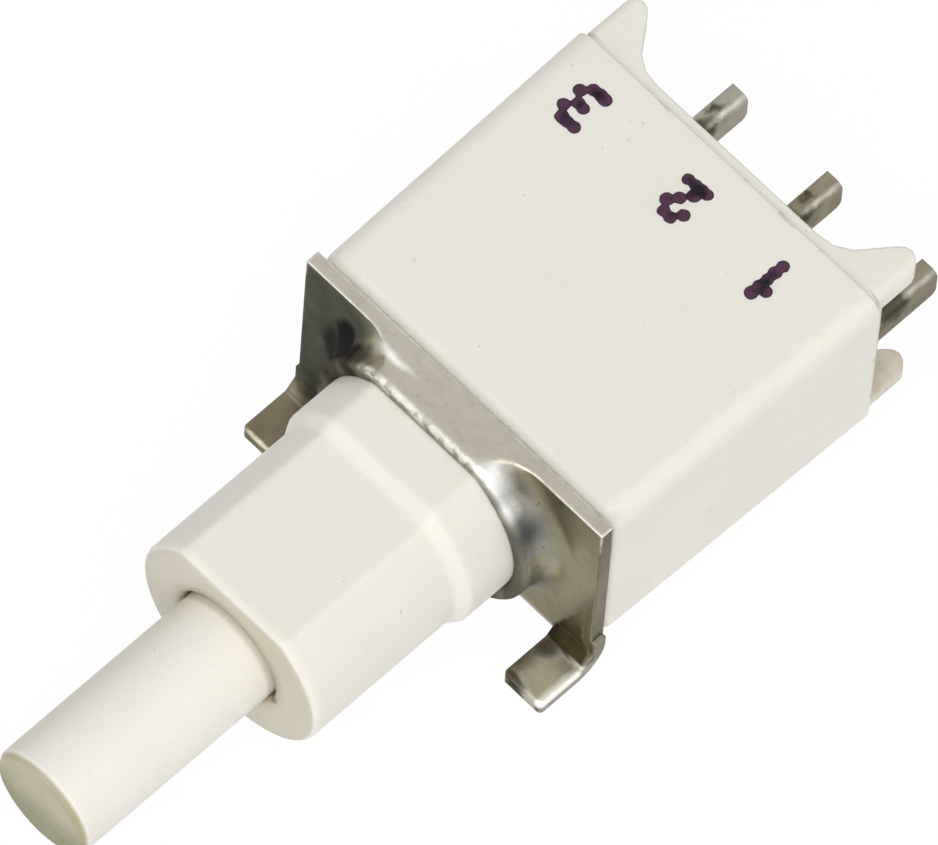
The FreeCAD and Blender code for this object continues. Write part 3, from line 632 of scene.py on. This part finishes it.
def bracket_finish():
    material, tree, shader = new_finish("greyed_tin_plate")
    skin = use(tree, RUBBED, Bright=(0.50, 0.47, 0.40, 1), Dull=(0.35, 0.325, 0.26, 1), Blotches=0.6,
               Blotch_size=0.55, Streaks=(0.7, 8.0, 8.0), Pits=0.25, Gloss=0.36)
    place = place_mm(tree)
    torn = ragged(tree, place, 1.6, 0.45)
    frayed = ragged(tree, place, 3.0, 0.16)
    axes = split(tree, place)
    loose = split(tree, torn)
    frayed_axes = split(tree, frayed)
    colour = skin["Colour"]
    # Where: below the plate's top edge, above the feet, the front, the right flank and the feet, each in its own tone;
    # the front's darker tone is painted shade and reflection.
    under = ramp(tree, axes[2], PLATE_TOP_MM - 0.03, PLATE_TOP_MM - 0.005, 1.0, 0.0)
    above = ramp(tree, axes[2], SHEET_MM + 0.01, SHEET_MM + 0.10)
    front = times(tree, ramp(tree, axes[1], 0.04, 0.01), under, above)
    colour = tint(tree, front, colour, (0.62, 0.60, 0.47, 1), "MULTIPLY")
    flank = times(tree, ramp(tree, axes[0], PLATE_SIDE_MM - 0.04, PLATE_SIDE_MM - 0.01), above, under,
                  ramp(tree, axes[2], 0.90, 1.05, 0.55, 1.0))
    colour = tint(tree, flank, colour, (0.46, 0.435, 0.37, 1), "MULTIPLY")
    foot = ramp(tree, above, 0.0, 1.0, 1.0, 0.0)
    right_foot = times(tree, foot, ramp(tree, axes[0], 0.0, 1.0))
    patchy = times(tree, right_foot, ramp(tree, cloud(tree, place, 1.9, 4.0), 0.34, 0.62, 0.15, 1.0))
    colour = tint(tree, patchy, colour, (0.56, 0.53, 0.43, 1))
    colour = tint(tree, calc(tree, "SUBTRACT", foot, right_foot), colour, (0.44, 0.40, 0.30, 1), "MULTIPLY")
    outer = times(tree, right_foot, ramp(tree, axes[0], PLATE_SIDE_MM + 0.03, PLATE_SIDE_MM + 0.06))
    colour = tint(tree, outer, colour, (0.40, 0.39, 0.35, 1))
    # The draw, which was worked grey, then the painted highlights, reflections and marks, a painted highlight along the
    # top of its rim, specks, scuffs and a painted highlight along the outer top edge of the right foot.
    draw = times(tree, ramp(tree, axes[1], -0.04, -0.25), front)
    worked = times(tree, draw, ramp(tree, loose[0], -1.9, 0.3))
    colour = tint(tree, times(tree, worked, 0.65), colour, (0.31, 0.31, 0.30, 1))
    # Painted highlights and reflections on the draw and the left foot, and the greyed top of the right foot.
    for centre, reach, soft, amount, tone in HIGHLIGHTS_AND_MARKS:
        mark = times(tree, stain(tree, frayed, centre, reach, soft), amount)
        colour = tint(tree, mark, colour, tone + (1,))
    # A painted highlight along the top of the draw's rim.
    rim_highlight = times(tree, ramp(tree, axes[1], RIM_MM + 0.16, RIM_MM + 0.04), ramp(tree, axes[2], 5.0, 5.3),
                  ramp(tree, cloud(tree, place, 5.0, 3.0), 0.36, 0.56, 0.15, 1.0))
    colour = tint(tree, rim_highlight, colour, (0.80, 0.78, 0.70, 1))
    speck = times(tree, ramp(tree, cloud(tree, place, 5.5, 3.0, 0.6), 0.64, 0.71, 0.0, 0.75), front,
                  ramp(tree, axes[0], 1.5, 2.2))
    colour = tint(tree, speck, colour, (0.05, 0.042, 0.022, 1))
    scuff = ramp(tree, cloud(tree, place, 4.5, 4.0, 0.7), 0.52, 0.66, 0.0, 0.13)
    colour = tint(tree, scuff, colour, (0.16, 0.15, 0.12, 1))
    # A painted highlight along the outer top edge of the right foot.
    foot_highlight = times(tree, right_foot, ramp(tree, frayed_axes[0], 3.76, 3.90), ramp(tree, axes[2], 0.15, 0.24),
                 ramp(tree, frayed_axes[1], -0.24, -0.36))
    colour = tint(tree, foot_highlight, colour, (0.95, 0.93, 0.88, 1))
    # Painted shade and reflection, and a wedge of painted shade at the foot of the right leg. Both hide the metal.
    dull = 0.0
    for centre, reach, soft, amount, tone in PAINTED_SHADE:
        edged = torn if reach[0] > WIDE_STAIN_MM else frayed
        mark = times(tree, stain(tree, edged, centre, reach, soft), under, amount)
        colour = tint(tree, mark, colour, tone + (1,))
        dull = calc(tree, "MAXIMUM", dull, mark)
    slope = calc(tree, "MULTIPLY_ADD", frayed_axes[0], -2.4, frayed_axes[2])
    right_end = calc(tree, "SUBTRACT", frayed_axes[0], ramp(tree, axes[2], 0.34, 0.95, 0.26, 0.0))
    wedge = times(tree, ramp(tree, slope, -6.80, -6.58, 1.0, 0.0), ramp(tree, right_end, 3.62, 3.74, 1.0, 0.0),
                  ramp(tree, axes[2], SHEET_MM + 0.01, SHEET_MM + 0.04), ramp(tree, axes[1], 0.04, 0.01),
                  ramp(tree, axes[2], 0.7, 2.0, 0.96, 0.55))
    wedge_shade = tint(tree, ramp(tree, frayed_axes[0], 3.0, 3.4), (0.006, 0.004, 0.001, 1), (0.040, 0.033, 0.009, 1))
    colour = tint(tree, wedge, colour, wedge_shade)
    dull = calc(tree, "MAXIMUM", dull, wedge)
    shade = ramp(tree, cloud(tree, place, 1.1, 4.0), 0.30, 0.70, 0.75, 1.3)
    grey = add(tree, "ShaderNodeCombineXYZ", {0: shade, 1: shade, 2: shade}).outputs[0]
    colour = tint(tree, dull, colour, grey, "MULTIPLY")
    # Edges: rounded most on the draw's shoulder, less on the feet, least on the plate, and bright near the top, partly
    # from wear and partly as a painted highlight.
    shoulder = times(tree, ramp(tree, axes[1], -0.03, -0.14), above)
    radius = calc(tree, "MULTIPLY_ADD", shoulder, 0.00016, ramp(tree, above, 0.0, 1.0, 0.00016, 0.00009))
    round_edge = add(tree, "ShaderNodeBevel", {"Radius": radius}, samples=8).outputs[0]
    flat = add(tree, "ShaderNodeNewGeometry", {}).outputs["Normal"]
    same = add(tree, "ShaderNodeVectorMath", {0: round_edge, 1: flat}, operation="DOT_PRODUCT").outputs["Value"]
    worn_and_highlit = times(tree, ramp(tree, same, 0.985, 0.88), ramp(tree, cloud(tree, place, 3.0, 3.0), 0.30, 0.60, 0.25, 1.0),
                 ramp(tree, axes[2], 4.6, 5.1, 0.12, 0.80), ramp(tree, shoulder, 0.0, 1.0, 1.0, 0.05))
    colour = tint(tree, worn_and_highlit, colour, (0.90, 0.87, 0.79, 1))
    rough = calc(tree, "MULTIPLY_ADD", worked, 0.07, skin["Roughness"])
    link(tree, shader, {"Base Color": colour, "Roughness": calc(tree, "MULTIPLY_ADD", dull, 0.45, rough),
                        "Metallic": calc(tree, "MULTIPLY_ADD", dull, -0.97, 1.0)})
    shader.inputs["Specular IOR Level"].default_value = 0.15
    shader.inputs["Specular Tint"].default_value = (0.70, 0.69, 0.66, 1)
    inputs = {"Height": skin["Relief"], "Distance": 0.000006, "Strength": 1.0, "Normal": round_edge}
    tree.links.new(add(tree, "ShaderNodeBump", inputs).outputs[0], shader.inputs["Normal"])
    return material


dress(bracket_finish(), "bracket")

# Studio: a white floor under the feet, a white surround, and three soft boxes:
# one over the camera's shoulder, one in front of the button and one on the right.


def ray_share(tree):
    """1 for rays from the camera, and for those that metal reflects or glass lets through."""
    path = add(tree, "ShaderNodeLightPath", {}).outputs
    seen = calc(tree, "MAXIMUM", path["Is Camera Ray"], path["Is Glossy Ray"])
    return calc(tree, "MAXIMUM", seen, path["Is Transmission Ray"])


def floor_finish():
    material = bpy.data.materials.new("white_floor")
    material.use_nodes = True
    tree = material.node_tree
    tree.nodes.clear()
    matt = add(tree, "ShaderNodeBsdfDiffuse", {"Color": (0.86, 0.86, 0.86, 1)}).outputs[0]
    glow = add(tree, "ShaderNodeEmission", {"Color": (1, 1, 1, 1), "Strength": 1.02}).outputs[0]
    share = times(tree, ray_share(tree), 0.93)
    both = add(tree, "ShaderNodeMixShader", {0: share, 1: matt, 2: glow}).outputs[0]
    add(tree, "ShaderNodeOutputMaterial", {0: both})
    return material


FLOOR_HALF = 8.0
FLOOR_DROP = 0.00002
corners = [(x * FLOOR_HALF, y * FLOOR_HALF, -FLOOR_DROP) for x, y in ((-1, -1), (1, -1), (1, 1), (-1, 1))]
floor = new_piece("floor", corners, [(0, 1, 2, 3)], floor_finish())

world = bpy.data.worlds.new("surround")
bpy.context.scene.world = world
world.use_nodes = True
air = world.node_tree
air.nodes.clear()
level = calc(air, "MULTIPLY_ADD", ray_share(air), 0.52, 0.48)
glow = add(air, "ShaderNodeBackground", {"Color": (1, 1, 1, 1), "Strength": level}).outputs[0]
add(air, "ShaderNodeOutputWorld", {0: glow})

TARGET = Vector((0.0, 0.0, PLATE_TOP_MM / 1000))


def soft_box(name, towards, distance, width, height, watts):
    """Area lamp at a distance from the switch in a given direction, facing it."""
    lamp = bpy.data.lights.new(name, "AREA")
    lamp.shape = "RECTANGLE"
    lamp.size = width
    lamp.size_y = height
    lamp.energy = watts
    thing = bpy.data.objects.new(name, lamp)
    away = Vector(towards).normalized()
    thing.location = TARGET + away * distance
    thing.rotation_euler = away.to_track_quat("Z", "Y").to_euler()
    thing.visible_camera = False
    bpy.context.scene.collection.objects.link(thing)


soft_box("shoulder_box", (0.20, -0.35, 0.90), 0.50, 0.30, 0.30, 0.89)
soft_box("front_box", (0.40, -0.82, 0.38), 0.45, 0.34, 0.09, 0.50)
soft_box("right_box", (0.62, 0.02, 0.78), 0.45, 0.16, 0.30, 0.27)

# Camera: a long lens above the front right of the switch, as in the photograph.
# It looks at the target, and its shift lays the target on its pixel in the photograph.

AZIMUTH, ELEVATION, ROLL = map(math.radians, (41.448, 63.048, 4.924))
DISTANCE = 0.420
SENSOR_MM = 36.0
FRAME_WIDTH, FRAME_HEIGHT = 938, 845
TARGET_PIXEL = (453.911, 399.178)
PIXELS_PER_METRE = 54119.0

back = Vector((math.sin(AZIMUTH) * math.cos(ELEVATION), -math.cos(AZIMUTH) * math.cos(ELEVATION),
               math.sin(ELEVATION)))
right = Vector((math.cos(AZIMUTH), math.sin(AZIMUTH), 0.0))
up = back.cross(right)
across = math.cos(ROLL) * right + math.sin(ROLL) * up
over = -math.sin(ROLL) * right + math.cos(ROLL) * up
lens = bpy.data.cameras.new("long_lens")
lens.sensor_width = SENSOR_MM
lens.lens = PIXELS_PER_METRE * DISTANCE / FRAME_WIDTH * SENSOR_MM
lens.shift_x = (FRAME_WIDTH / 2 - TARGET_PIXEL[0]) / FRAME_WIDTH
lens.shift_y = (TARGET_PIXEL[1] - FRAME_HEIGHT / 2) / FRAME_WIDTH
lens.clip_start = 0.01
lens.clip_end = 60.0
camera = bpy.data.objects.new("camera", lens)
camera.matrix_world = Matrix.Translation(TARGET + back * DISTANCE) @ Matrix(
    (across, over, back)).transposed().to_4x4()
bpy.context.scene.collection.objects.link(camera)
bpy.context.scene.camera = camera
bpy.context.scene.view_settings.view_transform = "Standard"
